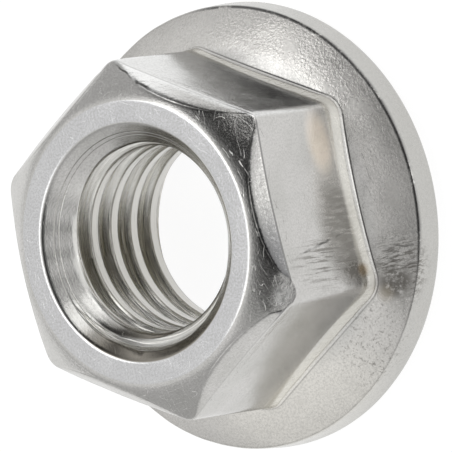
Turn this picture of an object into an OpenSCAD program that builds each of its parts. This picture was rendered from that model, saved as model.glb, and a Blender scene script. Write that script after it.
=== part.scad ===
// Flange nut: a cold-forged hexagon nut with a broad round flange under it.
// The nut stands on its bearing face, which lies on z = 0 with the thread's axis along Z.
// One flat of the hexagon faces along +X. All sizes are in millimetres.

/* [Hexagon] */
// Wrench size, from flat to flat
across_flats = 15; // [13.5:0.25:16.5]
// Height of the whole nut
nut_h = 9.6; // [8:0.1:11]
// Amount by which the upright corners are rounded off
corner_cut = 0.1; // [0.05:0.05:0.4]
// Diameter of the level ring on the top face
top_face_d = 13.15; // [12.4:0.05:14]
// Slope of the cone between the top face and the corners, from level
corner_slope = 32.5; // [20:0.5:38]
// Depth below the top face at which the bevel of each flat starts
bevel_depth = 1; // [0.6:0.05:1.4]
// Lean of the bevels from upright
bevel_lean = 25; // [10:1:35]

/* [Flange] */
// Diameter of the flange
flange_d = 20.9; // [20:0.1:23]
// Height of the rim's upper edge above the bearing face
rim_h = 1.52; // [1:0.02:2]
// Slope of the flange's upper side, from level
flange_slope = 22; // [12:1:24]
// Amount by which the rim leans in from its foot to its upper edge
rim_draft = 0.06; // [0:0.01:0.15]
// Radius of the rim's upper edge
rim_edge_r = 0.12; // [0.05:0.01:0.3]
// Radius of the bearing face's outer edge
bearing_edge_r = 0.3; // [0.1:0.05:0.6]
// Radius of the hollow round between each flat and the flange
flat_foot_r = 0.65; // [0.3:0.05:0.8]
// Radius of the hollow round between the corners and the flange
corner_foot_r = 0.8; // [0.3:0.05:1]

/* [Threaded hole] */
// Nominal diameter of the thread
thread_d = 10; // [8:0.5:10.5]
// Distance from one thread crest to the next
thread_pitch = 1.5; // [1:0.25:2]
// Amount by which the hole is wider than the thread's basic minor diameter
bore_allowance = 0.3; // [0:0.05:0.4]
// Diameter of the countersink in the top face
top_countersink_d = 11.1; // [10.8:0.1:12.3]
// Diameter of the countersink in the bearing face
bearing_countersink_d = 12.8; // [11:0.1:14]
// Full angle of both countersinks
countersink_angle = 90; // [82:1:120]

/* [Hidden] */
$fn = 96;
// Share of the pitch by which a basic thread's minor diameter is less than its nominal one
minor_share = 1.0825;
// Overrun of the cutting shapes past the faces that they cut
over = 1;
flat_x = across_flats / 2;
corner_r = flat_x / cos(30) - corner_cut;
flange_r = flange_d / 2;
bearing_r = flange_r - bearing_edge_r;
rim_top_r = flange_r - rim_draft;
bore_r = (thread_d - minor_share * thread_pitch + bore_allowance) / 2;
corner_top_z = nut_h - (corner_r - top_face_d / 2) * tan(corner_slope);

// Height of the flange's upper side at distance r from the axis
function flange_z(r) = rim_h + (rim_top_r - r) * tan(flange_slope);
// Middle of a hollow round of radius r that touches an upright wall at x and the flange's slope
function foot_centre(x, r) = [x + r, flange_z(x + r) + r / cos(flange_slope)];
// Point at which that hollow round runs out onto the slope
function foot_end(x, r) = foot_centre(x, r) - r * [sin(flange_slope), cos(flange_slope)];

// Right half of the nut's outer form, turned about the axis: flange, rim, corner land and top cone
module turned_profile() {
    land = foot_centre(corner_r, corner_foot_r);
    rim_centre = [rim_top_r - rim_edge_r, flange_z(rim_top_r - rim_edge_r) - rim_edge_r / cos(flange_slope)];
    difference() {
        union() {
            polygon([
                [0, 0],
                [bearing_r, 0],
                [flange_r, bearing_edge_r],
                [rim_top_r, rim_centre[1]],
                rim_centre + rim_edge_r * [sin(flange_slope), cos(flange_slope)],
                foot_end(corner_r, corner_foot_r),
                [corner_r, land[1]],
                [corner_r, corner_top_z],
                [top_face_d / 2, nut_h],
                [0, nut_h]
            ]);
            translate([bearing_r, bearing_edge_r]) circle(bearing_edge_r);
            translate(rim_centre) circle(rim_edge_r);
        }
        translate(land) circle(corner_foot_r);
    }
}

// Section across two opposite flats, from the skirt under them to the bevels at their tops
module flats_profile() {
    foot = foot_centre(flat_x, flat_foot_r);
    bevel_z = nut_h - bevel_depth;
    side = [
        [flange_r + over, -over],
        [flange_r + over, flange_z(flange_r + over)],
        foot_end(flat_x, flat_foot_r),
        [flat_x, foot[1]],
        [flat_x, bevel_z],
        [flat_x - (bevel_depth + over) * tan(bevel_lean), nut_h + over]
    ];
    difference() {
        polygon([
            for (p = side) p,
            for (i = [len(side) - 1:-1:0]) [-side[i][0], side[i][1]]
        ]);
        for (s = [-1, 1]) translate([s * foot[0], foot[1]]) circle(flat_foot_r);
    }
}

// Solid that lies between two opposite flats and under their bevels
module flats_pair() {
    rotate([90, 0, 0])
        linear_extrude(flange_d + 2 * over, center = true)
            flats_profile();
}

// Hole with its two countersinks, as a cutting shape. The thread's ridges would stand inside it.
module thread_hole() {
    half = countersink_angle / 2;
    top_r = top_countersink_d / 2;
    bearing_csk_r = bearing_countersink_d / 2;
    top_depth = (top_r - bore_r) / tan(half);
    bearing_depth = (bearing_csk_r - bore_r) / tan(half);
    rotate_extrude()
        polygon([
            [0, -over],
            [bearing_csk_r + over * tan(half), -over],
            [bore_r, bearing_depth],
            [bore_r, nut_h - top_depth],
            [top_r + over * tan(half), nut_h + over],
            [0, nut_h + over]
        ]);
}

module flange_nut() {
    color("silver")
        difference() {
            intersection() {
                rotate_extrude() turned_profile();
                intersection_for(turn = [0, 60, 120]) rotate(turn) flats_pair();
            }
            thread_hole();
        }
}

flange_nut();
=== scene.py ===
# %% [markdown]
# # A flange nut in bright stainless steel
# The real nut is pressed cold from a slug of steel wire: a hexagon for the wrench and, under it, a
# broad flange that spreads the load. After pressing, the top is turned, and the hole is bored,
# countersunk and tapped. The frame holds the nut's measured solid. This lesson dresses it with one
# dense skin, which has the small rounds, the tapped thread and the worn steel that the solid
# leaves out.

# %% Frame
import math

import bpy
import bmesh
import numpy as np
from mathutils import Matrix, Vector, noise


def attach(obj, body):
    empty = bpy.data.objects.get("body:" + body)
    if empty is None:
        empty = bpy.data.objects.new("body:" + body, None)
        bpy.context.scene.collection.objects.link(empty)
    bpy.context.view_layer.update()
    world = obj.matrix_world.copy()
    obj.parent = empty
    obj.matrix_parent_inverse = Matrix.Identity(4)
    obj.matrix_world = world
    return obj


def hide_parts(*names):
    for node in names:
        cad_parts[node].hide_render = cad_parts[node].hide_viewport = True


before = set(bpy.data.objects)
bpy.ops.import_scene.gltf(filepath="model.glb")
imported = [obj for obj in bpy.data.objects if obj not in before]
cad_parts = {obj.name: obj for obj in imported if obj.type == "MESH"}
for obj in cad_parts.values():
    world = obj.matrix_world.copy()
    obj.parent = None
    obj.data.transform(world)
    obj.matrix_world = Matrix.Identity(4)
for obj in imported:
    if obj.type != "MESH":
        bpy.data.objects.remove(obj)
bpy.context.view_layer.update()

# %% [markdown]
# ## Sizes
# A nut is drawn in millimetres, so the sizes are millimetres here too, and the mesh is scaled to
# metres when it is made. They are the sizes of the solid, because the skin has to lie on it. The
# nut stands on its bearing face at height 0, with its axis along Z and one flat towards +X.

# %% Hexagon and top
MM = 0.001
FLAT = 7.5  # axis to flat
NUT_H = 9.6
CORNER = FLAT / math.cos(math.radians(30)) - 0.1  # axis to upright corner, slightly rounded off
TOP_R = 6.575  # outer edge of the level ring on the top
CONE = 35.7  # slope of the turned cone under the ring, in degrees
SHOULDER, SHOULDER_R = 16.0, 0.45  # how much less it slopes at the ring, and over what width
BEVEL_Z, BEVEL = 8.66, math.tan(math.radians(33))  # start and lean of the bevel in a flat's middle
BEVEL_ARCH = 30  # radius of the arch in which each bevel starts
print("hexagon", 2 * FLAT, "mm, height", NUT_H, "mm")

# %% Flange and foot
FLANGE_R, RIM_TOP_R, RIM_H = 10.45, 10.39, 1.52
SLOPE = math.radians(22)  # mean slope of the flange's upper side
CROWN, CROWN_RUN = math.radians(3.2), 2.2  # more slope at the rim, less further in, over this run
RIM_ROUND, BEARING_ROUND = 0.16, 0.3  # upper and lower edge of the rim
FOOT, FOOT_RISE = 0.26, 0.60  # width and height of the steep strip at the hexagon's foot
FOOT_CORNER = 8.45  # radius within which the strip's corners stay
FOOT_LEAST, FOOT_MORE = 0.4, 0.73  # share of that width on the far side, and extra share at most
FOOT_SIDE, BROAD_SIDE = math.radians(25), math.radians(-60)  # sides with the full and the extra share
print("flange", 2 * FLANGE_R, "mm, rim", RIM_H, "mm high")

# %% Hole and mesh
BORE_R, THREAD_R, PITCH = 4.338, 5.057, 1.5  # thread crests, thread roots, one turn
TOP_MOUTH, BEARING_MOUTH = 5.55, 6.4  # radii of the two countersinks, both 45 degrees to the axis
THREAD_FROM, THREAD_TO = 1.25, 9.2  # heights inside the countersinks where the tapped wall takes over
COLUMNS, ROWS = 540, 104  # columns round the nut, rows along its section
CROWD = 0.6  # how far the columns crowd together at the six corners
print("thread 10 x", PITCH, "mm")

# %% [markdown]
# ## Faces that are not quite straight
# The cone and the flange look straight, but bright steel shows the smallest bend in how its
# reflections run. So both get a slope that changes along the way. Adding up the slope step by step
# gives the height, and reading that table the other way round gives the radius.

# %% Crowned faces
def climbed(along, slope):
    """Height gained along a path whose slope changes."""
    return np.concatenate([[0], np.cumsum((slope[1:] + slope[:-1]) / 2 * np.diff(along))])


flange_run = np.linspace(0, 5, 1000)  # from the rim inwards
flange_slope = SLOPE + CROWN * (1 - 2 * np.clip(flange_run / CROWN_RUN, 0, 1))
flange_rise = climbed(flange_run, np.tan(flange_slope))
cone_run = np.linspace(0, 4, 800)  # from the ring outwards
cone_slope = np.radians(CONE - SHOULDER * np.exp(-cone_run / SHOULDER_R))
cone_drop = climbed(cone_run, np.tan(cone_slope))


def flange_z(r):
    return RIM_H + np.interp(RIM_TOP_R - r, flange_run, flange_rise)


print("flange meets the flats at height", round(float(flange_z(FLAT)), 2), "mm")

# %% [markdown]
# ## The section of the outer form
# Cut the nut open at any angle and its outline is a line of radius against height. Several shapes
# compete for it: the form turned about the axis, the six flats and the bevels over them. The smaller
# radius wins, as in the solid. A soft minimum lets them run into each other with a small round,
# because a pressed edge is never sharp. At the foot of the hexagon a steep narrow strip leads from
# the flats to the flange. It is wider on one side, as on the nut in the picture.

# %% Rim and foot
WALL_SOFT, FOOT_SOFT, BEVEL_SOFT, RING_SOFT = 0.15, 0.2, 0.03, 0.09  # rounds where two shapes meet


def soft_min(a, b, k):
    return np.minimum(a, b) - np.maximum(k - np.abs(a - b), 0) ** 2 / (4 * k)


def rim(z):
    """Radius of the rim at heights z, and of the flange's slope above it."""
    cx = RIM_TOP_R - RIM_ROUND
    cz = flange_z(cx) - RIM_ROUND / math.cos(SLOPE)
    side = FLANGE_R + (RIM_TOP_R - FLANGE_R) * (z - BEARING_ROUND) / (cz - BEARING_ROUND)
    edge = cx + np.sqrt(np.maximum(RIM_ROUND**2 - (z - cz) ** 2, 0))
    slope = RIM_TOP_R - np.interp(z - RIM_H, flange_rise, flange_run)
    return np.where(z < cz, side, np.where(z < cz + RIM_ROUND * math.cos(SLOPE), edge, slope))


def wall_and_foot(z, wall, share):
    """Radius of an upright wall that runs out onto the flange over a steep strip."""
    end = soft_min(wall, FOOT_CORNER, FOOT_SOFT) + FOOT * share
    part_up = (z - flange_z(end)) / (FOOT_RISE * share)
    strip = end + (wall - end) * part_up
    return np.where(part_up >= 1, wall, np.where(part_up > 0, strip, rim(z)))


# %% Columns round the nut
turn = np.arange(COLUMNS) * 2 * math.pi / COLUMNS
angle = turn + CROWD / 6 * np.sin(6 * turn)
off_flat = (angle + math.pi / 6) % (math.pi / 3) - math.pi / 6
lean = 1 / np.cos(off_flat)[:, None]
aside = FLAT * np.tan(off_flat)[:, None]
wall_r = soft_min(FLAT * lean, CORNER, WALL_SOFT)
full_width = np.clip(1.1 * np.cos(angle - FOOT_SIDE), 0, 1)
BROAD_FROM = 0.82  # cosine of the angle from the broad side at which the extra share begins
broad = np.clip((np.cos(angle - BROAD_SIDE) - BROAD_FROM) / (1 - BROAD_FROM), 0, 1)
foot_share = (FOOT_LEAST + (1 - FOOT_LEAST) * full_width + FOOT_MORE * broad)[:, None]
print("foot strip:", round(FOOT * foot_share.min(), 2), "to", round(FOOT * foot_share.max(), 2), "mm wide")

# %% Side of the nut
z_side = np.linspace(BEARING_ROUND, NUT_H, 2400)[None, :]
bevel_r = lean * (FLAT - (z_side + aside**2 / (2 * BEVEL_ARCH) - BEVEL_Z) * BEVEL)
OUTSIDE = 12  # far outside the nut, for heights below the end of the cone's table
cone_r = TOP_R + np.interp(NUT_H - z_side, cone_drop, cone_run, right=OUTSIDE)
r_side = soft_min(wall_and_foot(z_side, wall_r, foot_share), bevel_r, BEVEL_SOFT)
r_side = soft_min(r_side, cone_r, RING_SOFT)
print("at a flat: radius", r_side[0, 0].round(3), "at the rim,", r_side[0, 1500].round(3), "on the flat")

# %% [markdown]
# ## Walking along the section
# The rest of the section is simple: countersink, bearing face and the rounded edge of the rim
# before the side, then the level ring and the upper countersink after it. The ring's two edges are
# rounded on purpose: each round is the mirror in which a lamp becomes a thin white line.

# %% Ends of the section
EDGE = 0.3  # radius of the rounds at both edges of the ring


def straight(p, q, n):
    share = np.linspace(0, 1, n, endpoint=False)[:, None]
    return (1 - share) * np.array(p) + share * np.array(q)


def ring_edge(degrees, outwards, at):
    """Round at an edge of the top ring through these slopes. outwards is 1 or -1."""
    slope = np.radians(degrees)[:, None]
    return np.hstack([outwards * np.sin(slope), np.cos(slope) - 1]) * EDGE + at


quarter = np.linspace(0, math.pi / 2, 60, endpoint=False)[:, None]
lower_edge = np.hstack([np.sin(quarter), 1 - np.cos(quarter)]) * BEARING_ROUND
before = np.vstack([
    straight([BEARING_MOUTH - THREAD_FROM, THREAD_FROM], [BEARING_MOUTH, 0], 200),
    straight([BEARING_MOUTH, 0], [FLANGE_R - BEARING_ROUND, 0], 300),
    lower_edge + [FLANGE_R - BEARING_ROUND, 0],
])
outer_back = EDGE * math.tan(math.radians(CONE - SHOULDER) / 2)
inner_back = EDGE * math.tan(math.pi / 8)
outer_edge = ring_edge(np.linspace(CONE - SHOULDER, 0, 30, endpoint=False), 1, [TOP_R - outer_back, NUT_H])
inner_edge = ring_edge(np.linspace(0, 45, 30, endpoint=False), -1, [TOP_MOUTH + inner_back, NUT_H])
sink_end = [TOP_MOUTH - (NUT_H - THREAD_TO), THREAD_TO]
after = np.vstack([
    outer_edge,
    straight(outer_edge[-1], inner_edge[0], 150),
    inner_edge,
    straight(inner_edge[-1], sink_end, 150),
    [sink_end],
])
print("points before and after the side:", len(before), "and", len(after))

# %% [markdown]
# ## Rows where they are needed
# A short running mean rounds every edge a little more. The rows of the mesh are then paced along
# the line: long steps on plain faces and short ones where the line bends. Even rows would need
# several times as many faces to make the edges catch the light as cleanly.

# %% Whole section
FINE = 2000  # points along the section before the rows are chosen


def blurred(a, width):
    """Running mean with a bell-shaped weight along axis 1, which keeps the two ends in place."""
    reach = int(3 * width)
    weight = np.exp(-0.5 * (np.arange(-reach, reach + 1) / width) ** 2)
    head = 2 * a[:, :1] - a[:, reach:0:-1]
    tail = 2 * a[:, -1:] - a[:, -2 : -reach - 2 : -1]
    padded = np.concatenate([head, a, tail], axis=1)
    weighted = sum(w * padded[:, i : i + a.shape[1]] for i, w in enumerate(weight))
    return weighted / weight.sum()


fine_section = np.empty((COLUMNS, FINE, 2))
keep = z_side[0] < outer_edge[0, 1]
for i in range(COLUMNS):
    outline = np.vstack([before, np.stack([r_side[i, keep], z_side[0, keep]], axis=1), after])
    way = np.concatenate([[0], np.cumsum(np.hypot(*np.diff(outline, axis=0).T))])
    even = np.linspace(0, way[-1], FINE)
    for k in (0, 1):
        fine_section[i, :, k] = np.interp(even, way, outline[:, k])
ROUND_WIDTH = 3.5  # width of the mean that rounds the edges, in fine points
fine_section = blurred(fine_section, ROUND_WIDTH)
print("fine section:", fine_section.shape[1], "points in each column")

# %% Paced rows
LONG_STEP = 0.42  # spacing of the rows on a plain face, before the count is fixed
BEND_ROWS = 7.5  # rows for each radian of bend, likewise
step = np.diff(fine_section, axis=1)
bend = np.unwrap(np.arctan2(step[..., 1], step[..., 0]), axis=1)
bend = np.abs(np.diff(bend, axis=1, prepend=bend[:, :1], append=bend[:, -1:]))
length = np.hypot(step[..., 0], step[..., 1]).sum(1, keepdims=True) / (FINE - 1)
PACE_WIDTH, BESIDE = 9, 4  # fine points and columns on each side over which the pace is evened out
pace = np.repeat(length / LONG_STEP, FINE, axis=1) + BEND_ROWS * blurred(bend, PACE_WIDTH)
pace = sum(np.roll(pace, k, axis=0) for k in range(-BESIDE, BESIDE + 1)) / (2 * BESIDE + 1)
paced = np.cumsum(pace, axis=1) - pace[:, :1]
section = np.empty((COLUMNS, ROWS, 2))
for i in range(COLUMNS):
    want = np.linspace(0, paced[i, -1], ROWS)
    for k in (0, 1):
        section[i, :, k] = np.interp(want, paced[i], fine_section[i, :, k])
section[:, 0] = before[0]
section[:, -1] = after[-1]
print("section length", round(float(length[0, 0] * FINE), 2), "mm in", ROWS, "rows")

# %% [markdown]
# ## Forged unevenness
# Cold forging leaves no face quite flat, and polished steel shows it: reflections run in slow waves.
# Each point is moved inwards along the section's normal by a few hundredths of a millimetre. The
# ends of the section, the turned ring and the countersinks stay true, because a lathe cut them.

# %% Unevenness
WAVE = 0.022  # mean depth, in millimetres
SLOW, QUICK, QUICK_SHARE = 0.45, 1.3, 0.35  # scales of the two noises, and the second one's share
slant = np.gradient(section, axis=1)
slant /= np.linalg.norm(slant, axis=2, keepdims=True) + 1e-9
inward = np.stack([-slant[..., 1], slant[..., 0]], axis=2)
TRUE_R, FADE_OUT, FADE_UP = 7.0, 1.2, 0.5  # the waves begin past this radius, over these lengths
calm = np.clip((section[..., 0] - TRUE_R) / FADE_OUT, 0, 1) * np.clip(section[..., 1] / FADE_UP, 0, 1)
for i, j in zip(*np.nonzero(calm > 0)):
    r, z = section[i, j]
    at = Vector((r * math.cos(angle[i]), r * math.sin(angle[i]), z))
    wave = noise.noise(at * SLOW) + QUICK_SHARE * noise.noise(at * QUICK)
    section[i, j] += inward[i, j] * calm[i, j] * (WAVE + WAVE * wave)
print("unevenness: up to", round(WAVE * (2 + QUICK_SHARE), 3), "mm")

# %% [markdown]
# ## A crushed corner
# One upper corner is crushed, as if the nut had been dropped on it. A plane that leans like the
# blow cuts the tip off: whatever stands past the plane is pressed back onto it. That keeps the skin
# closed, where a cut with a second solid would need a repair.

# %% Crushed corner
crush_side, crush_tilt, crush_deep = math.radians(-30), math.radians(44), 0.16
TIP_Z, TIP_R = 8.1, 8.2  # above and outside these lie only the tips of the corners
outwards, upwards = math.sin(crush_tilt) * np.cos(angle - crush_side)[:, None], math.cos(crush_tilt)
along_blow = section[..., 0] * outwards + section[..., 1] * upwards
near_tip = (section[..., 1] > TIP_Z) & (section[..., 0] > TIP_R)
past_plane = np.maximum(along_blow - (along_blow[near_tip].max() - crush_deep), 0)
section[..., 0] -= past_plane * outwards
section[..., 1] -= past_plane * upwards
print("crushed corner:", int((past_plane > 0).sum()), "points")

# %% [markdown]
# ## The skin
# Each column of the section is turned to its angle, and neighbouring columns are joined by
# four-sided faces. A mesh from a formula suits a nut better than sculpting, or than bevels on its
# solid, because every face is where its size says.

# %% Skin
skin_xyz = np.stack(
    [
        section[..., 0] * np.cos(angle)[:, None],
        section[..., 0] * np.sin(angle)[:, None],
        section[..., 1],
    ],
    axis=2,
)
ids = np.arange(COLUMNS * ROWS).reshape(COLUMNS, ROWS)
next_ids = np.roll(ids, -1, axis=0)
quads = np.stack([ids[:, :-1], next_ids[:, :-1], next_ids[:, 1:], ids[:, 1:]], axis=2).reshape(-1, 4)
skin = bpy.data.meshes.new("skin")
skin.from_pydata((skin_xyz.reshape(-1, 3) * MM).tolist(), [], quads.tolist())
print("skin:", len(skin.vertices), "points,", len(skin.polygons), "faces")

# %% [markdown]
# ## The tapped thread
# A tap cuts a groove that climbs by one pitch in each turn, so the wall of the hole follows a rule
# and suits Geometry Nodes. A flat grid is rolled into a tube, each of its rows is made to climb as
# the tap did, and the radius of each point follows from its distance to the nearest crest. Rows
# that climb with the thread keep its edges clean, where level rows would cut across them in steps.
# Above and below, the rows stop at a height inside the countersinks and are merged there.

# %% Node helpers
def feed(tree, socket, value):
    """Link a socket to an output, or set it to a number, a vector or a colour."""
    if isinstance(value, bpy.types.NodeSocket):
        tree.links.new(value, socket)
    elif isinstance(value, (int, float)) and socket.type == "VECTOR":
        socket.default_value = (value, value, value)
    else:
        socket.default_value = value


def calculator(tree):
    """A function that adds a Math node to this tree and gives its output."""

    def calculate(operation, *values):
        node = tree.nodes.new("ShaderNodeMath")
        node.operation = operation
        for i, value in enumerate(values):
            feed(tree, node.inputs[i], value)
        return node.outputs[0]

    return calculate


# %% Thread inputs
ROWS_A_TURN, TURNS = 12, 8
thread_tree = bpy.data.node_groups.new("tapped wall", "GeometryNodeTree")
face = thread_tree.interface
lengths = {
    "Crest radius": BORE_R,
    "Root radius": THREAD_R,
    "Pitch": PITCH,
    "Half crest": 0.25,
    "Climb a turn": -PITCH,
    "Crest height": 0.0,
    "Upper mouth": NUT_H - TOP_MOUTH,
    "Lower mouth": BEARING_MOUTH,
    "From": THREAD_FROM,
    "To": THREAD_TO,
    "Row crowding": 0.04,
}
numbers = {name: value * MM for name, value in lengths.items()}
numbers.update({"Flank slope": 1 / math.tan(math.radians(30)), "Crowding": CROWD})
for name, value in numbers.items():
    face.new_socket(name, in_out="INPUT", socket_type="NodeSocketFloat").default_value = value
for name in ("Columns", "Rows"):
    face.new_socket(name, in_out="INPUT", socket_type="NodeSocketInt").default_value = 2
face.new_socket("Steel", in_out="INPUT", socket_type="NodeSocketMaterial")
face.new_socket("Wall", in_out="OUTPUT", socket_type="NodeSocketGeometry")
given = thread_tree.nodes.new("NodeGroupInput").outputs
print("thread tree:", len(numbers) + 3, "inputs")

# %% Climbing rows
thread_calc = calculator(thread_tree)
grid = thread_tree.nodes.new("GeometryNodeMeshGrid")
grid.inputs["Size X"].default_value = grid.inputs["Size Y"].default_value = 1
feed(thread_tree, grid.inputs["Vertices X"], given["Columns"])
feed(thread_tree, grid.inputs["Vertices Y"], given["Rows"])
where = thread_tree.nodes.new("ShaderNodeSeparateXYZ")
feed(thread_tree, where.inputs[0], thread_tree.nodes.new("GeometryNodeInputPosition").outputs[0])
# Round the hole: even turns, crowded at the corners as the skin's columns are
even_turn = thread_calc("MULTIPLY", thread_calc("ADD", where.outputs["X"], 0.5), 2 * math.pi)
six_waves = thread_calc("SINE", thread_calc("MULTIPLY", even_turn, 6))
crowded = thread_calc("MULTIPLY", six_waves, thread_calc("DIVIDE", given["Crowding"], 6))
hole_turn = thread_calc("ADD", even_turn, crowded)
# Along the hole: even rows, crowded at the crests' edges
turns = thread_calc("DIVIDE", thread_calc("SUBTRACT", given["Rows"], 1), ROWS_A_TURN)
row = thread_calc("MULTIPLY", thread_calc("MULTIPLY", where.outputs["Y"], turns), given["Pitch"])
row_turn = thread_calc("DIVIDE", thread_calc("MULTIPLY", row, 6 * math.pi), given["Pitch"])
row_shift = thread_calc("MULTIPLY", thread_calc("SINE", row_turn), given["Row crowding"])
from_crest = thread_calc("ADD", row, row_shift)
climb = thread_calc("MULTIPLY", thread_calc("DIVIDE", hole_turn, 2 * math.pi), given["Climb a turn"])
level = thread_calc("ADD", thread_calc("ADD", from_crest, climb), given["Crest height"])
level = thread_calc("MINIMUM", thread_calc("MAXIMUM", level, given["From"]), given["To"])
print("thread tree:", len(thread_tree.nodes), "nodes for the rows")

# %% Crests, flanks and roots
half_pitch = thread_calc("DIVIDE", given["Pitch"], 2)
away = thread_calc("SUBTRACT", thread_calc("PINGPONG", from_crest, half_pitch), given["Half crest"])
flank = thread_calc("MULTIPLY", thread_calc("MAXIMUM", away, 0), given["Flank slope"])
cut = thread_calc("ADD", flank, given["Crest radius"])
cut = thread_calc("MINIMUM", cut, given["Root radius"])
# A countersink may have cut deeper
cut = thread_calc("MAXIMUM", cut, thread_calc("SUBTRACT", level, given["Upper mouth"]))
cut = thread_calc("MAXIMUM", cut, thread_calc("SUBTRACT", given["Lower mouth"], level))
place = thread_tree.nodes.new("ShaderNodeCombineXYZ")
feed(thread_tree, place.inputs[0], thread_calc("MULTIPLY", cut, thread_calc("COSINE", hole_turn)))
feed(thread_tree, place.inputs[1], thread_calc("MULTIPLY", cut, thread_calc("SINE", hole_turn)))
feed(thread_tree, place.inputs[2], level)

# %% Wall from the grid
move = thread_tree.nodes.new("GeometryNodeSetPosition")
weld = thread_tree.nodes.new("GeometryNodeMergeByDistance")
real = thread_tree.nodes.new("GeometryNodeRealizeInstances")
paint = thread_tree.nodes.new("GeometryNodeSetMaterial")
tree_end = thread_tree.nodes.new("NodeGroupOutput")
weld.inputs["Distance"].default_value = 1e-6
feed(thread_tree, move.inputs["Geometry"], grid.outputs["Mesh"])
feed(thread_tree, move.inputs["Position"], place.outputs[0])
feed(thread_tree, weld.inputs["Geometry"], move.outputs[0])
feed(thread_tree, real.inputs[0], weld.outputs[0])
feed(thread_tree, paint.inputs["Geometry"], real.outputs[0])
feed(thread_tree, paint.inputs["Material"], given["Steel"])
feed(thread_tree, tree_end.inputs[0], paint.outputs[0])
print("thread tree:", len(thread_tree.nodes), "nodes")

# %% [markdown]
# ## The wall becomes a mesh
# The modifier draws the wall on an empty object. Its inputs are set by the sockets' identifiers
# before the object is first evaluated. The result is then taken out as a plain mesh, because the
# next step has to join it to the skin. The thread looks left-handed in the picture, hence the sign.

# %% Tapped wall
HAND = -1
CREST_HEIGHT = 4.766  # height of a crest on the +X side
steel = bpy.data.materials.new("bright stainless steel")
steel.use_nodes = True
wall_object = bpy.data.objects.new("tapped_wall", bpy.data.meshes.new("blank"))
bpy.context.collection.objects.link(wall_object)
tap = wall_object.modifiers.new("tap", "NODES")
tap.node_group = thread_tree
identifiers = {s.name: s.identifier for s in face.items_tree if s.in_out == "INPUT"}
settings = {
    "Columns": COLUMNS + 1,
    "Rows": ROWS_A_TURN * TURNS + 1,
    "Climb a turn": HAND * PITCH * MM,
    "Crest height": CREST_HEIGHT * MM,
    "Steel": steel,
}
for name, value in settings.items():
    tap[identifiers[name]] = value
evaluated = bpy.context.evaluated_depsgraph_get()
wall = bpy.data.meshes.new_from_object(wall_object.evaluated_get(evaluated))
bpy.data.objects.remove(wall_object)
print("wall:", len(wall.vertices), "points,", len(wall.polygons), "faces")

# %% [markdown]
# ## One closed nut
# The skin ends inside each countersink on the same circle of points on which the wall ends. The
# two are put into one mesh and points that lie together are merged, so the nut has no seam. Its
# open edges are counted, which should give none, and its faces are turned to point outwards.

# %% Joined nut
both = bmesh.new()
both.from_mesh(skin)
both.from_mesh(wall)
WELD = 2e-6  # metres within which two points become one
bmesh.ops.remove_doubles(both, verts=both.verts, dist=WELD)
bmesh.ops.recalc_face_normals(both, faces=both.faces)
open_edges = sum(1 for e in both.edges if len(e.link_faces) != 2)
volume = both.calc_volume(signed=True)
if volume < 0:
    bmesh.ops.reverse_faces(both, faces=both.faces)
for f in both.faces:
    f.smooth = True
    f.material_index = 0
nut_mesh = bpy.data.meshes.new("flange_nut_skin")
both.to_mesh(nut_mesh)
both.free()
nut_mesh.materials.clear()
nut_mesh.materials.append(steel)
nut_mesh.calc_loop_triangles()
print("nut:", len(nut_mesh.loop_triangles), "triangles,", open_edges, "open edges")
print("volume", round(volume * 1e9, 1), "mm3")

# %% Nut in the frame
nut = bpy.data.objects.new("nut_body", nut_mesh)
bpy.context.collection.objects.link(nut)
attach(nut, "root")
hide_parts("flange_nut")
print(nut.name, "rides on root and replaces flange_nut")

# %% [markdown]
# ## The steel's finish
# The finish changes from face to face. The flange is pressed and has a fine orange peel, the top
# ring and the countersink are turned and show fine rings, the flats are drawn along the axis, and
# handling has scratched all of it. Several materials would meet in hard borders, so one material
# does it all, and small helper functions keep its node tree as short to read as a formula.

# %% Steel helpers
nodes, links = steel.node_tree.nodes, steel.node_tree.links
shader = nodes["Principled BSDF"]
calc = calculator(steel.node_tree)


def times(*values):
    product = values[0]
    for value in values[1:]:
        product = calc("MULTIPLY", product, value)
    return product


def total(*values):
    added = values[0]
    for value in values[1:]:
        added = calc("ADD", added, value)
    return added


def apart(value, middle):
    """Distance of a value from the middle."""
    return calc("ABSOLUTE", calc("SUBTRACT", value, middle))


def between(value, low, high, to_low=0.0, to_high=1.0):
    """Smooth step: to_low where value is at low, to_high where it is at high."""
    if low > high:
        low, high, to_low, to_high = high, low, to_high, to_low
    smooth = nodes.new("ShaderNodeMapRange")
    smooth.interpolation_type = "SMOOTHSTEP"
    for i, setting in enumerate((value, low, high, to_low, to_high)):
        feed(steel.node_tree, smooth.inputs[i], setting)
    return smooth.outputs[0]


# %% Pattern helpers
def stretched(vector, scale, centre=(0, 0, 0)):
    mapping = nodes.new("ShaderNodeMapping")
    mapping.vector_type = "POINT"
    feed(steel.node_tree, mapping.inputs["Vector"], vector)
    mapping.inputs["Scale"].default_value = scale
    mapping.inputs["Location"].default_value = [-c * k for c, k in zip(centre, scale)]
    return mapping.outputs[0]


def grain(vector, scale, detail=2.0, rough=0.5, twist=0.0):
    texture = nodes.new("ShaderNodeTexNoise")
    feed(steel.node_tree, texture.inputs["Vector"], vector)
    texture.inputs["Scale"].default_value = scale
    texture.inputs["Detail"].default_value = detail
    texture.inputs["Roughness"].default_value = rough
    texture.inputs["Distortion"].default_value = twist
    return texture.outputs["Fac"]


def hairs(vector, scale, width):
    """1 on thin curved lines: places where a smooth noise passes through its middle value."""
    return between(apart(grain(vector, scale, 0.0), 0.5), width, 0.0)


def length_of(vector):
    measure = nodes.new("ShaderNodeVectorMath")
    measure.operation = "LENGTH"
    feed(steel.node_tree, measure.inputs[0], vector)
    return measure.outputs["Value"]


def spot(centre, size):
    """1 near centre, fading to 0 at an ellipsoid of the half axes in size."""
    return between(length_of(stretched(point, [1 / s for s in size], centre)), 1.0, 0.35)


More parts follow.
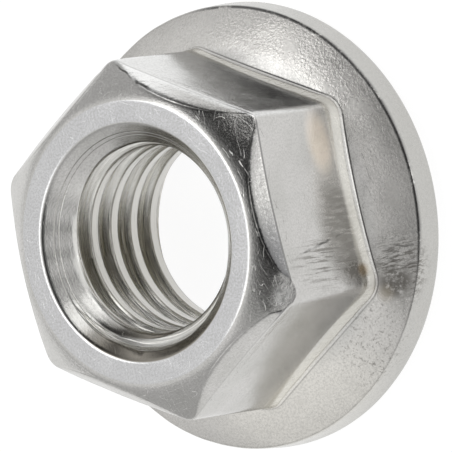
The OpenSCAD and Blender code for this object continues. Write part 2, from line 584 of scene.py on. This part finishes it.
def coated(under, share, colour):
    """The colour under, covered by the given share with another colour."""
    mix = nodes.new("ShaderNodeMix")
    mix.data_type = "RGBA"
    for name, value in (("Factor", share), ("A", under), ("B", colour)):
        if isinstance(value, tuple):
            value = (*value, 1)
        feed(steel.node_tree, mix.inputs[name], value)
    return mix.outputs["Result"]


# %% [markdown]
# ## Places on the nut
# The material reads Object coordinates in millimetres, so that a size in it is a size on the nut.
# Besides X, Y and Z it needs the distance from the axis, the way round the axis for the turned
# faces, and the way along the thread for marks that the tap left.

# %% Steel coordinates
coords = nodes.new("ShaderNodeTexCoord")
in_mm = nodes.new("ShaderNodeVectorMath")
in_mm.operation = "SCALE"
in_mm.inputs["Scale"].default_value = 1000
links.new(coords.outputs["Object"], in_mm.inputs[0])
point = in_mm.outputs[0]
split = nodes.new("ShaderNodeSeparateXYZ")
links.new(point, split.inputs[0])
px, py, pz = split.outputs


def combined(*values):
    vector = nodes.new("ShaderNodeCombineXYZ")
    for socket, value in zip(vector.inputs, values):
        feed(steel.node_tree, socket, value)
    return vector.outputs[0]


radius = calc("SQRT", total(times(px, px), times(py, py)))
around = calc("ARCTAN2", py, px)
wrapped = combined(times(around, 8.0), radius, pz)
helix = calc("SUBTRACT", pz, times(around, HAND * PITCH / (2 * math.pi)))
along_thread = combined(around, radius, helix)
print("steel tree:", len(nodes), "nodes for the coordinates")

# %% [markdown]
# ## Masks
# Each layer of the finish belongs to one face. A mask is 1 on that face and 0 elsewhere, and it is
# made of the same sizes as the mesh: the cone of the countersink, for one, is where radius minus
# height has one value. Painting masks by hand would take as long and would not follow a new size.

# %% Turned and pressed faces
flange_mask = times(between(radius, 8.1, 8.7), between(pz, 3.0, 2.6))
rim_mask = between(radius, 10.28, 10.38)
ring_mask = times(between(pz, 9.57, 9.595), between(radius, 6.62, 6.56))
off_sink = apart(calc("SUBTRACT", radius, pz), TOP_MOUTH - NUT_H)
sink_mask = times(between(off_sink, 0.06, 0.02), between(pz, 8.3, 8.45))
hole_mask = times(between(radius, 5.12, 5.06), calc("SUBTRACT", 1.0, sink_mask))
crest_mask = times(hole_mask, between(radius, 4.42, 4.37))
flat_mask = times(between(radius, 7.3, 7.45), between(pz, 3.0, 3.4))
over_flange = calc("SUBTRACT", pz, times(calc("SUBTRACT", RIM_TOP_R, radius), math.tan(SLOPE)))
foot_mask = times(between(pz, 3.3, 3.05), between(over_flange, RIM_H + 0.08, RIM_H + 0.16))

# %% Bevels and cone
off_middle = calc("PINGPONG", around, math.pi / 6)  # angle to the middle of the nearest flat
square_out = times(radius, calc("COSINE", off_middle))  # distance from the axis, square to that flat
beside = times(radius, calc("SINE", off_middle))
above = total(calc("SUBTRACT", pz, BEVEL_Z), calc("DIVIDE", times(beside, beside), 2 * BEVEL_ARCH))
crease = times(between(calc("ABSOLUTE", above), 0.07, 0.02), between(square_out, 7.38, 7.44))
off_bevel = apart(total(square_out, times(above, BEVEL)), FLAT)
bevel_mask = times(between(above, 0.0, 0.06), between(off_bevel, 0.09, 0.05))
cone_mask = times(between(radius, 6.6, 6.8), between(off_bevel, 0.08, 0.15), between(pz, 8.0, 8.2))
# Distance from the axis, square to the flat at 60 degrees
upper_flat = total(times(px, math.cos(math.pi / 3)), times(py, math.sin(math.pi / 3)))
patch_grain = between(grain(point, 4.0, 4.0, 0.75), 0.34, 0.56)
corner_patch = times(spot((7.05, -4.07, 8.63), (1.0, 0.75, 0.38)), patch_grain)
print("steel tree:", len(nodes), "nodes with the masks")

# %% [markdown]
# ## Relief too fine for the mesh
# Orange peel, turning marks and drawing marks are a few thousandths of a millimetre deep. As mesh
# they would need millions of faces, so they are heights in millimetres that feed a Bump node. Each
# is a noise, stretched the way the tool went, times the mask of its face and its depth.

# %% Marks of the press and the lathe
peel_depth = total(0.005, times(spot((5.2, 6.6, 2.3), (7, 7, 4)), 0.008))
peel = times(grain(point, 7.0, 3.0, 0.6, 0.4), flange_mask, peel_depth)
turning = grain(stretched(wrapped, (0.15, 12, 12)), 1.0, 3.0, 0.7)
turned = times(turning, calc("MAXIMUM", ring_mask, sink_mask), 0.0014)
ridges = grain(stretched(along_thread, (0.8, 7, 7)), 1.0, 3.0, 0.65)
tapped = times(ridges, hole_mask, 0.035)
drawn = times(grain(stretched(wrapped, (4.0, 1.0, 0.7)), 1.0, 3.0, 0.6), flat_mask, 0.003)
scales = grain(stretched(point, (1.5, 5.0, 2.0)), 1.2, 3.0, 0.6, 0.8)
bevelled = times(scales, calc("MAXIMUM", bevel_mask, foot_mask), 0.018)
pits = grain(point, 9.0, 3.0, 0.7)
coned = times(pits, total(cone_mask, times(corner_patch, 3.0)), 0.007)
fine = times(pits, 0.0038)

# %% Nicks and grooves
broken = between(grain(point, 1.6), 0.50, 0.60)
broken_too = between(grain(stretched(point, (1, 1, 1), (7, 3, 1)), 1.9), 0.50, 0.60)
nicks = calc(
    "MAXIMUM",
    times(hairs(stretched(point, (2.4, 0.5, 0.6)), 1.3, 0.008), broken),
    times(hairs(stretched(wrapped, (0.35, 1.2, 1.3), (3, 9, 2)), 1.6, 0.008), broken_too),
)
nicks = times(nicks, calc("SUBTRACT", 1.0, hole_mask), total(0.2, cone_mask), -0.008)
grooves = total(between(apart(radius, 5.10), 0.030, 0.0), between(apart(radius, 4.95), 0.022, 0.0))
grooves = times(grooves, sink_mask, -0.012)

# %% Steel bump
bump = nodes.new("ShaderNodeBump")
bump.inputs["Strength"].default_value = 1.0
bump.inputs["Distance"].default_value = MM
relief = total(fine, peel, turned, tapped, drawn, bevelled, coned, nicks, grooves)
links.new(relief, bump.inputs["Height"])
links.new(bump.outputs[0], shader.inputs["Normal"])
print("steel tree:", len(nodes), "nodes with the bumps")

# %% [markdown]
# ## The steel's own colour, and painted light
# Stainless steel is a warm grey. A broad noise varies it a little, as on any used part, and fine
# speckles make it matt from close by. The flange came out of the press brighter, and the turned ring
# is the coolest grey. One flat and the -Y side of the nut are painted lighter: painted light.

# %% Base tone
cloud = grain(point, 0.5, 3.0, 0.55)
speckle = grain(point, 10.0, 3.0, 0.7)
tone = coated((0.535, 0.53, 0.51), between(cloud, 0.3, 0.7), (0.595, 0.585, 0.57))
tone = coated(tone, times(flange_mask, 0.5), (0.70, 0.68, 0.65))
# Painted light: the flat at 60 degrees, towards +Y, gets a lighter colour.
painted_light_flat = times(between(upper_flat, 7.30, 7.42), between(pz, 2.9, 3.3))
tone = coated(tone, painted_light_flat, (0.74, 0.74, 0.73))
# Painted light: the -Y side of the nut and its flange get a lighter, warm colour.
painted_light_side = times(spot((2.0, -9.0, 2.0), (7.0, 4.0, 2.5)), 0.8)
tone = coated(tone, painted_light_side, (0.78, 0.76, 0.71))
tone = coated(tone, ring_mask, (0.585, 0.585, 0.59))
tone = coated(tone, times(between(speckle, 0.40, 0.64), 0.32), (0.36, 0.355, 0.34))
tone = coated(tone, times(rim_mask, 0.5), (0.46, 0.46, 0.44))

# %% [markdown]
# ## Smears and painted shade
# Tooling grease and dark forging smears stayed on one side of this nut: streaks that run along one
# flat and on over the flange, a band at the flat's foot and blotches on the flange round the corner's
# foot. The dark patch on the flat at that corner is painted shade. Each is a soft patch round a
# place on the nut, broken up by a grain that is stretched along it.

# %% Smears on the flat
streak = between(grain(stretched(point, (1.0, 5.5, 0.35)), 1.3, 4.0, 0.75), 0.49, 0.60)
flat_smear = times(spot((7.5, -2.9, 5.0), (0.9, 1.7, 4.0)), streak, 0.62)
band = between(grain(stretched(point, (1.0, 4.0, 0.6)), 1.5, 5.0, 0.7), 0.30, 0.60, 0.28, 0.62)
band_smear = times(spot((7.5, -1.4, 4.0), (0.8, 3.6, 1.9)), band)
corner_grain = between(grain(point, 1.9, 5.0, 0.75), 0.42, 0.58)
# Painted shade: a dark patch on the flat at its lower corner.
corner_painted_shade = times(spot((7.6, -3.4, 3.6), (0.8, 1.2, 1.6)), corner_grain, 0.8)

# %% Smears on the flange
fan = between(grain(stretched(point, (0.6, 6.0, 3.0)), 1.2, 5.0, 0.8), 0.44, 0.60)
flange_smear = times(spot((9.0, -3.9, 2.0), (2.0, 2.3, 1.6)), fan, 0.80)
blotch = between(grain(point, 2.4, 5.0, 0.75), 0.34, 0.52)
foot_smear = times(spot((8.5, -4.4, 2.1), (1.3, 1.1, 1.0)), blotch, 0.85)
specks = between(grain(point, 5.0, 5.0, 0.8), 0.54, 0.64)
speck_smear = times(spot((6.6, -7.0, 1.9), (3.2, 3.2, 1.6)), specks, 0.5)
smears_and_painted_shade = flat_smear
for dark_patch in (band_smear, flange_smear, corner_painted_shade, foot_smear, speck_smear):
    smears_and_painted_shade = calc("MAXIMUM", smears_and_painted_shade, dark_patch)
# The smears and the painted shade at the corner all get this dark colour.
tone = coated(tone, smears_and_painted_shade, (0.13, 0.12, 0.105))

# %% [markdown]
# ## Painted light on the bevels, and stains
# The bevel on the +X side has painted shade towards -Y, and the next one towards +Y has a painted
# highlight at its far end.
# Beside the smears lie a beige film on the flat, a brown spot at the foot of a corner and a tan one
# on the flange. They take the same soft patches, with a colour of their own.

# %% Bevels and stains
# Painted shade: the +X bevel turns dark towards -Y.
painted_shade_bevel = times(bevel_mask, between(py, 1.2, -2.2), between(px, 6.3, 6.6), 0.85)
tone = coated(tone, painted_shade_bevel, (0.20, 0.20, 0.205))
# Painted highlight: the bevel towards +Y is nearly white at its far end.
painted_highlight_bevel = times(bevel_mask, between(upper_flat, 6.4, 6.8), between(px, 5.0, 2.0), 0.9)
tone = coated(tone, painted_highlight_bevel, (0.92, 0.92, 0.91))
beige_film = times(spot((7.5, 2.7, 4.15), (0.4, 1.9, 1.15)), 0.8)
tone = coated(tone, beige_film, (0.78, 0.70, 0.61))
tone = coated(tone, times(foot_mask, 0.45), (0.70, 0.68, 0.61))
brown_spot = times(spot((7.65, -3.5, 3.0), (0.6, 0.5, 0.5)), 0.7)
tone = coated(tone, brown_spot, (0.20, 0.13, 0.05))
tan_spot = times(spot((7.9, -4.8, 2.4), (0.7, 0.7, 0.7)), 0.45)
tone = coated(tone, tan_spot, (0.40, 0.34, 0.24))

# %% [markdown]
# ## Inside the hole
# The flanks have painted light towards +Y and -Y and painted shade in the middle of the wall, and fine
# ridges along the groove are darker still. The crests are a plain grey. The countersink has a painted
# band of light half way up the picture and is brown at the bottom. Each is one more coat, laid over
# the last by its mask.

# %% Hole tones
# Painted light and shade: the tapped wall is pale towards +Y and -Y and darker between.
hole_painted_light = calc("MAXIMUM", between(py, -0.5, -3.6), between(py, 0.4, 3.0))
wall_light_and_shade = coated((0.50, 0.48, 0.42), hole_painted_light, (0.96, 0.95, 0.91))
tone = coated(tone, times(hole_mask, 0.9), wall_light_and_shade)
ridge_share = times(between(ridges, 0.48, 0.64), calc("SUBTRACT", 0.6, times(hole_painted_light, 0.38)))
tone = coated(tone, times(hole_mask, ridge_share), (0.26, 0.245, 0.18))
# Painted light: a bright band across the countersink, half way up the picture.
sink_painted_light = times(sink_mask, between(py, -2.4, -0.6), between(py, 4.0, 2.4), 0.65)
tone = coated(tone, sink_painted_light, (0.88, 0.87, 0.84))
tone = coated(tone, times(sink_mask, between(py, -2.8, -4.4), 0.8), (0.33, 0.30, 0.25))
tone = coated(tone, times(crest_mask, 0.85), (0.60, 0.59, 0.565))

# %% [markdown]
# ## Lines
# Dark lines are drawn in the colour along the rim's upper edge and in the crease where a bevel starts.
# Dirt sits in the crushed corner and in a few cracks. A line between two points is drawn where the
# distance to it is small, and a noise moves the points about first, so that it wavers.

# %% Edge, crease and corner
edge_line = times(between(radius, 10.20, 10.26), between(radius, 10.38, 10.33), between(pz, 1.30, 1.42))
edge_line = times(edge_line, between(py, -4.5, -2.0), between(px, -0.8, 1.6))
edge_line = times(edge_line, between(grain(point, 1.5, 4.0, 0.7), 0.30, 0.46))
tone = coated(tone, times(edge_line, 0.8), (0.08, 0.08, 0.08))
tone = coated(tone, times(crease, between(px, 5.5, 6.8, 0.15, 0.6)), (0.10, 0.10, 0.10))
tone = coated(tone, times(corner_patch, 0.9), (0.60, 0.60, 0.585))
patch_lines = between(grain(stretched(point, (2, 3, 9)), 1.0, 4.0, 0.7), 0.42, 0.58)

# %% Wavering line
WOBBLE = 0.25  # how far the line strays, in millimetres


def wavering_line(a, b, width):
    """1 along a wavering line from a to b."""
    a, b = Vector(a), Vector(b)
    waver = nodes.new("ShaderNodeTexNoise")
    links.new(point, waver.inputs["Vector"])
    waver.inputs["Scale"].default_value = 1.6
    waver.inputs["Detail"].default_value = 3.0
    moved = nodes.new("ShaderNodeVectorMath")
    moved.operation = "MULTIPLY_ADD"
    links.new(waver.outputs["Color"], moved.inputs[0])
    moved.inputs[1].default_value = (WOBBLE, WOBBLE, WOBBLE)
    links.new(stretched(point, (1, 1, 1), a + Vector((WOBBLE, WOBBLE, WOBBLE)) / 2), moved.inputs[2])
    off_line = nodes.new("ShaderNodeVectorMath")
    off_line.operation = "CROSS_PRODUCT"
    links.new(moved.outputs[0], off_line.inputs[0])
    off_line.inputs[1].default_value = (b - a).normalized()
    half = (b - a).length / 2 + 0.1
    near_line = between(length_of(off_line.outputs[0]), width, 0.3 * width)
    return times(near_line, spot((a + b) / 2, (half, half, half)))


# %% Cracks and streaks
crack = calc(
    "MAXIMUM",
    wavering_line((0.2, 8.35, 8.5), (1.5, 7.33, 9.08), 0.08),
    wavering_line((1.45, 7.4, 9.05), (2.6, 6.6, 9.33), 0.11),
)
flat_line = wavering_line((7.5, -2.5, 7.9), (7.55, -1.55, 3.2), 0.09)
flat_line = times(flat_line, between(streak, 0.0, 0.3, 0.4, 0.75))
flange_line = wavering_line((7.6, -2.3, 2.65), (9.9, -3.0, 1.55), 0.07)
dark_lines = times(patch_lines, corner_patch, 0.5)
for dark_line in (times(crack, 0.9), flat_line, times(flange_line, 0.6)):
    dark_lines = calc("MAXIMUM", dark_lines, dark_line)
tone = coated(tone, dark_lines, (0.08, 0.08, 0.075))
links.new(tone, shader.inputs["Base Color"])
print("steel tree:", len(nodes), "nodes with the colours")

# %% [markdown]
# ## Gloss
# The lower the roughness, the sharper the mirror. Pressed and dirty faces are duller, and the
# turned cone is the sharpest. All of it stays bare metal.

# %% Steel gloss
gloss = between(grain(point, 0.9, 3.0, 0.6), 0.3, 0.75, 0.13, 0.22)
gloss = total(gloss, times(flange_mask, 0.08), times(hole_mask, 0.05), times(smears_and_painted_shade, 0.25))
gloss = total(gloss, times(foot_mask, 0.06), times(corner_patch, 0.32), times(cone_mask, -0.04))
links.new(gloss, shader.inputs["Roughness"])
shader.inputs["Metallic"].default_value = 1.0
print("steel tree:", len(nodes), "nodes in all")

# %% [markdown]
# ## Floor
# The nut lies on a white sheet. Seen by the camera or mirrored in the steel, the sheet glows almost
# white and keeps only a faint shadow. To all other rays it is a plain pale surface with no glow of
# its own. A plain white floor alone would come out grey wherever the nut shades it.

# %% Floor
FLOOR_R, FLOOR_Z = 1.5, -2e-5  # metres; a little under the nut, so that the two faces don't meet
bpy.ops.mesh.primitive_circle_add(vertices=96, radius=FLOOR_R, fill_type="NGON", location=(0, 0, FLOOR_Z))
floor = bpy.context.object
floor.name = "floor"
pale = bpy.data.materials.new("pale floor")
pale.use_nodes = True
pale.node_tree.nodes.clear()


def floor_node(kind, **settings_by_name):
    node = pale.node_tree.nodes.new(kind)
    for name, value in settings_by_name.items():
        feed(pale.node_tree, node.inputs[name], value)
    return node


matt = floor_node("ShaderNodeBsdfDiffuse", Color=(0.8, 0.8, 0.8, 1))
faint = floor_node("ShaderNodeBsdfDiffuse", Color=(0.2, 0.2, 0.2, 1))
glow = floor_node("ShaderNodeEmission", Strength=0.9)
ray = floor_node("ShaderNodeLightPath").outputs
floor_calc = calculator(pale.node_tree)
seen_ray = floor_calc("MAXIMUM", ray["Is Camera Ray"], ray["Is Glossy Ray"])
seen_ray = floor_calc("MAXIMUM", seen_ray, ray["Is Transmission Ray"])
seen = floor_node("ShaderNodeAddShader")
for socket, part_shader in zip(seen.inputs, (faint, glow)):
    feed(pale.node_tree, socket, part_shader.outputs[0])
pick = floor_node("ShaderNodeMixShader")
for socket, value in zip(pick.inputs, (seen_ray, matt.outputs[0], seen.outputs[0])):
    feed(pale.node_tree, socket, value)
floor_node("ShaderNodeOutputMaterial", Surface=pick.outputs[0])
floor.data.materials.append(pale)
print("floor:", len(pale.node_tree.nodes), "nodes")

# %% [markdown]
# ## Camera
# The camera stands far away with a long lens, which keeps parallel edges parallel. LEAN is the
# angle between the nut's axis and the line of sight, ROLL tilts the picture, and SPIN takes the
# camera round the nut. The lens follows from how many pixels a millimetre covers, and the aim from
# the pixel under which the middle of the bearing face lies.

# %% Camera
LEAN, ROLL, SPIN = math.radians(37.7), math.radians(-7.99), math.radians(5.72)
PX_PER_MM, FRAME_PX, AXIS_PX = 21.456, 452, (261.2, 224.5)
DISTANCE, SENSOR = 800, 36
toward = Vector((math.sin(LEAN), 0, math.cos(LEAN)))
across = Vector((math.cos(LEAN), 0, -math.sin(LEAN)))
north = Vector((0, 1, 0))
cam_right = math.cos(ROLL) * across + math.sin(ROLL) * north
cam_up = -math.sin(ROLL) * across + math.cos(ROLL) * north
spun = Matrix.Rotation(-SPIN, 3, "Z")
toward, cam_right, cam_up = spun @ toward, spun @ cam_right, spun @ cam_up
off_right, off_down = [(FRAME_PX / 2 - pixel) / PX_PER_MM for pixel in AXIS_PX]
aim = cam_right * off_right - cam_up * off_down
camera_data = bpy.data.cameras.new("camera")
camera_data.sensor_width = SENSOR
camera_data.lens = SENSOR * PX_PER_MM * DISTANCE / FRAME_PX
camera_data.clip_start, camera_data.clip_end = 0.1, 10
camera = bpy.data.objects.new("camera", camera_data)
camera_axes = Matrix((cam_right, cam_up, toward)).transposed().to_4x4()
camera.matrix_world = Matrix.Translation((aim + toward * DISTANCE) * MM) @ camera_axes
bpy.context.collection.objects.link(camera)
bpy.context.scene.camera = camera
print("lens", round(camera_data.lens), "mm at", DISTANCE, "mm")

# %% [markdown]
# ## Light tent
# Bright steel has hardly a colour of its own: it shows what stands round it. Small metal parts are
# photographed in a white tent, and the camera looks in through a dark gap. That gap is what draws
# the near-black band on the turned cone. The world shader is such a tent: pale all round, nearly
# black along the gap, greyer at the sides and bright in front. The camera itself sees plain white.
#
# To place these parts, think of each face as a mirror. A face with a given slope, on a given side of
# the nut, shows the camera one direction of the tent, and mirrored() works out which.

# %% Directions in the tent
def mirrored(slope, side):
    """Direction that the camera sees in a face with this slope, on this side, both in degrees."""
    slope, side = math.radians(slope), math.radians(side)
    normal = Vector((math.sin(slope) * math.cos(side), math.sin(slope) * math.sin(side), math.cos(slope)))
    view = Vector((math.sin(LEAN), 0, math.cos(LEAN)))
    return spun @ (2 * view.dot(normal) * normal - view)


GAP = [mirrored(36 + max(0, side - 40) / 4, side) for side in range(-8, 63, 8)]
GAP += [mirrored(38, -14)]
SIDES = [mirrored(35, side) for side in (*range(-130, -39, 15), *range(80, 126, 15))]
FRONT = [mirrored(52, side) for side in range(-48, 51, 14)]
# Brightness against the cosine of the angle to the nearest of these directions
GAP_RAMP = [(0.80, 0.95), (0.86, 0.76), (0.885, 0.56), (0.92, 0.42)]
GAP_RAMP += [(0.95, 0.28), (0.972, 0.13), (0.988, 0.055), (0.997, 0.03)]
SIDES_RAMP = [(0.94, 0.95), (0.985, 0.58)]
FRONT_RAMP = [(0.95, 0.0), (0.970, 0.72), (0.99, 0.9)]
print("directions:", len(GAP), "in the gap,", len(SIDES), "at the sides,", len(FRONT), "in front")

# %% World
world = bpy.data.worlds.new("light tent")
bpy.context.scene.world = world
world.use_nodes = True
tent_nodes = world.node_tree.nodes
tent_calc = calculator(world.node_tree)
sight_line = tent_nodes.new("ShaderNodeTexCoord").outputs["Generated"]


def shaded(directions, stops):
    """Brightness that depends on the angle to the nearest of the directions."""
    nearest = -1
    for way in directions:
        dot = tent_nodes.new("ShaderNodeVectorMath")
        dot.operation = "DOT_PRODUCT"
        feed(world.node_tree, dot.inputs[0], sight_line)
        feed(world.node_tree, dot.inputs[1], way)
        nearest = tent_calc("MAXIMUM", nearest, dot.outputs["Value"])
    ramp = tent_nodes.new("ShaderNodeValToRGB")
    while len(ramp.color_ramp.elements) < len(stops):
        ramp.color_ramp.elements.new(0.5)
    for element, (at, grey) in zip(ramp.color_ramp.elements, stops):
        element.position = at
        element.color = (grey, grey, grey, 1)
    feed(world.node_tree, ramp.inputs[0], nearest)
    return ramp.outputs[0]


darker = tent_calc("MINIMUM", shaded(GAP, GAP_RAMP), shaded(SIDES, SIDES_RAMP))
tent = tent_nodes["Background"]
feed(world.node_tree, tent.inputs["Color"], tent_calc("MAXIMUM", darker, shaded(FRONT, FRONT_RAMP)))
plain = tent_nodes.new("ShaderNodeBackground")
plain.inputs["Color"].default_value = (1, 1, 1, 1)
which = tent_nodes.new("ShaderNodeMixShader")
camera_ray = tent_nodes.new("ShaderNodeLightPath").outputs["Is Camera Ray"]
for socket, value in zip(which.inputs, (camera_ray, tent.outputs[0], plain.outputs[0])):
    feed(world.node_tree, socket, value)
feed(world.node_tree, tent_nodes["World Output"].inputs["Surface"], which.outputs[0])
bpy.context.scene.view_settings.view_transform = "Standard"
print("tent:", len(tent_nodes), "nodes")

# %% [markdown]
# ## Soft boxes
# The tent alone is even, so five soft boxes stand in it. The upper one whitens the lower left of the
# countersink, and the low one lights the bevel of the nearest flat. The top and side ones show in
# the rounded edges of the ring and draw the white line along them, and the high one makes the
# flange's orange peel sparkle. Area lights suit them, because steel mirrors their shape.

# %% Soft boxes
BOX_AWAY = 0.3  # metres from the nut
BOXES = {  # direction, width and length in metres, radiance
    "upper box": (spun @ Vector((0.42, 0.76, 0.48)).normalized(), 0.15, 0.15, 1.1),
    "low box": (spun @ Vector((1.0, 0.17, 0.08)).normalized(), 0.10, 0.10, 1.25),
    "top box": (mirrored(11, 38), 0.10, 0.18, 1.9),
    "side box": (mirrored(11, -24), 0.07, 0.12, 1.4),
    "high box": (mirrored(19, 55), 0.09, 0.12, 1.15),
}
along_cone = mirrored(13, 80) - mirrored(13, 0)
for name, (direction, width, long, radiance) in BOXES.items():
    lamp = bpy.data.lights.new(name, "AREA")
    lamp.shape, lamp.size, lamp.size_y = "ELLIPSE", width, long
    lamp.energy = radiance * math.pi * math.pi * width * long / 4
    box = bpy.data.objects.new(name, lamp)
    upright = (along_cone - along_cone.dot(direction) * direction).normalized()
    box_axes = Matrix((upright.cross(direction), upright, direction)).transposed().to_4x4()
    box.matrix_world = Matrix.Translation(direction * BOX_AWAY) @ box_axes
    bpy.context.collection.objects.link(box)
print("soft boxes:", len(BOXES))
